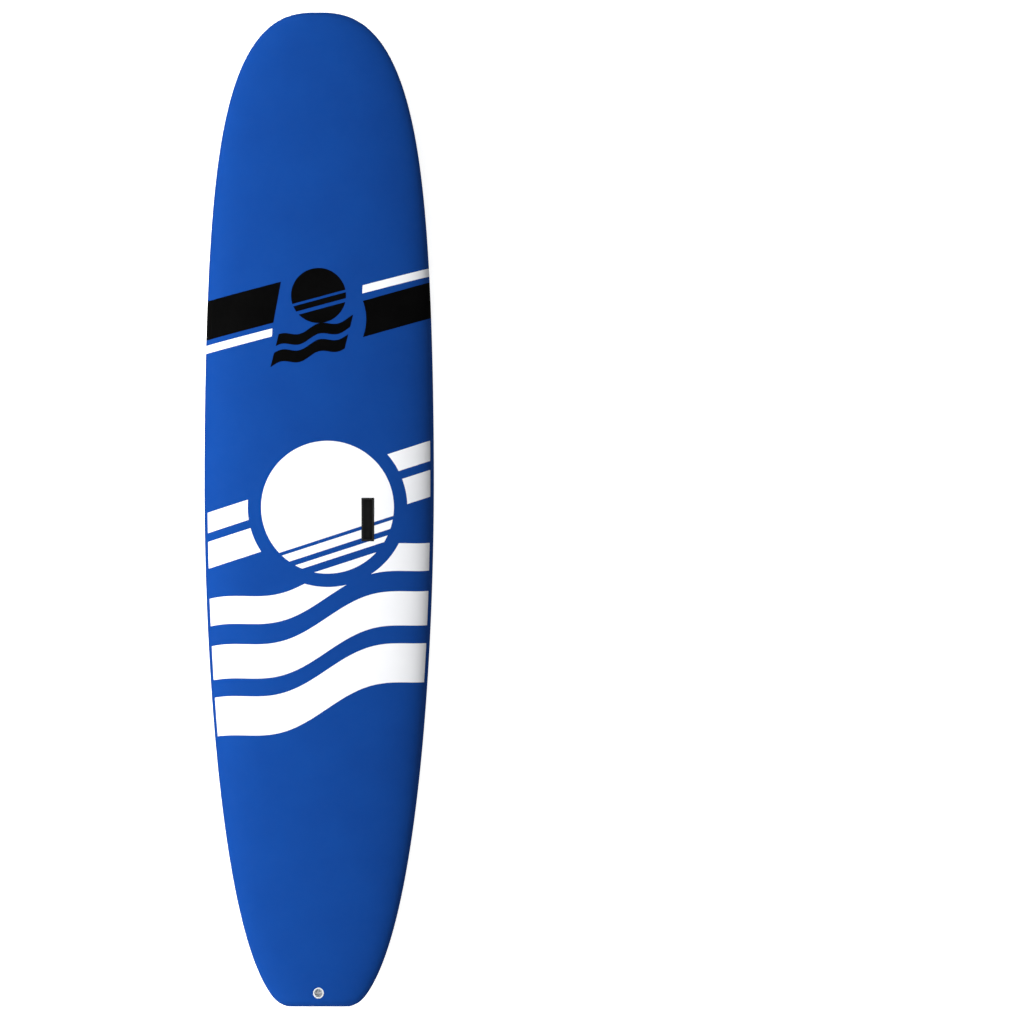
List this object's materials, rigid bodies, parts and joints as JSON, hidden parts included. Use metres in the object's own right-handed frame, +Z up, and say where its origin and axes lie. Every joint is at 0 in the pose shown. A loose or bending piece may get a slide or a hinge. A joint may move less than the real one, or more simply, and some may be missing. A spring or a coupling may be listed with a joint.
{
  "type": "soft-top longboard surfboard",
  "caption": "Soft-top longboard surfboard with blue foam deck, pale slick bottom, stringers, fin boxes, leash plug and hand slot.",
  "frame": {"origin": "middle of the board's length and width, on the surface that the bottom rests on", "axes": "+Y to the nose, +X to the right-hand rail seen from above the deck, +Z up"},
  "size_m": [0.5656, 2.4376, 0.1373],
  "materials": {
    "deck_foam": "closed-cell polyethylene foam with printed stripes, fine pebble, matte",
    "slick": "smooth glossy polyethylene sheet, pale grey-white",
    "laminate": "woven glass in resin",
    "core_foam": "moulded bead foam",
    "stringer_wood": "plywood",
    "block_foam": "dense closed-cell foam",
    "black_plastic": "moulded nylon, satin",
    "box_plastic": "glass-filled nylon, satin, dark grey",
    "plug_plastic": "pale silver-grey moulded ring",
    "steel": "stainless steel"
  },
  "bodies": {
    "board": {"deck_skin": "deck_foam", "deck_laminate": "laminate", "bottom_slick": "slick", "bottom_laminate": "laminate", "core_left": "core_foam", "core_centre": "core_foam", "core_right": "core_foam", "stringer_left": "stringer_wood", "stringer_right": "stringer_wood", "handle_cup": "black_plastic", "fin_box_left": "box_plastic", "fin_box_right": "box_plastic", "fin_box_centre": "box_plastic", "fin_block_left": "block_foam", "fin_block_right": "block_foam", "fin_block_centre": "block_foam", "leash_cup": "plug_plastic", "leash_bar": "steel", "leash_base": "box_plastic", "leash_bolt": "steel"},
    "fin_screw_left_rear_body": {"fin_screw_left_rear": "steel"},
    "fin_screw_left_front_body": {"fin_screw_left_front": "steel"},
    "fin_screw_right_rear_body": {"fin_screw_right_rear": "steel"},
    "fin_screw_right_front_body": {"fin_screw_right_front": "steel"},
    "fin_screw_centre_rear_body": {"fin_screw_centre_rear": "steel"},
    "fin_screw_centre_front_body": {"fin_screw_centre_front": "steel"}
  },
  "joints": [
    {"name": "fin_screw_left_rear_turn", "type": "hinge", "parent": "board", "child": "fin_screw_left_rear_body", "pos_m": [-0.12218, -0.95729, 0.03079], "axis": [-0.0484, -0.2981, -0.9533], "range_deg": [-1440, 720]},
    {"name": "fin_screw_left_front_turn", "type": "hinge", "parent": "board", "child": "fin_screw_left_front_body", "pos_m": [-0.12371, -0.90852, 0.02629], "axis": [-0.0484, -0.2981, -0.9533], "range_deg": [-1440, 720]},
    {"name": "fin_screw_right_rear_turn", "type": "hinge", "parent": "board", "child": "fin_screw_right_rear_body", "pos_m": [0.12218, -0.95886, 0.03094], "axis": [0.0484, 0.1155, -0.9921], "range_deg": [-1440, 720]},
    {"name": "fin_screw_right_front_turn", "type": "hinge", "parent": "board", "child": "fin_screw_right_front_body", "pos_m": [0.12371, -0.91009, 0.02644], "axis": [0.0484, 0.1155, -0.9921], "range_deg": [-1440, 720]},
    {"name": "fin_screw_centre_rear_turn", "type": "hinge", "parent": "board", "child": "fin_screw_centre_rear_body", "pos_m": [0.0075, -1.11563, 0.04577], "axis": [0, -0.314, -0.9494], "range_deg": [-1440, 720]},
    {"name": "fin_screw_centre_front_turn", "type": "hinge", "parent": "board", "child": "fin_screw_centre_front_body", "pos_m": [0.0075, -1.07587, 0.04138], "axis": [0, -0.314, -0.9494], "range_deg": [-1440, 720]}
  ]
}
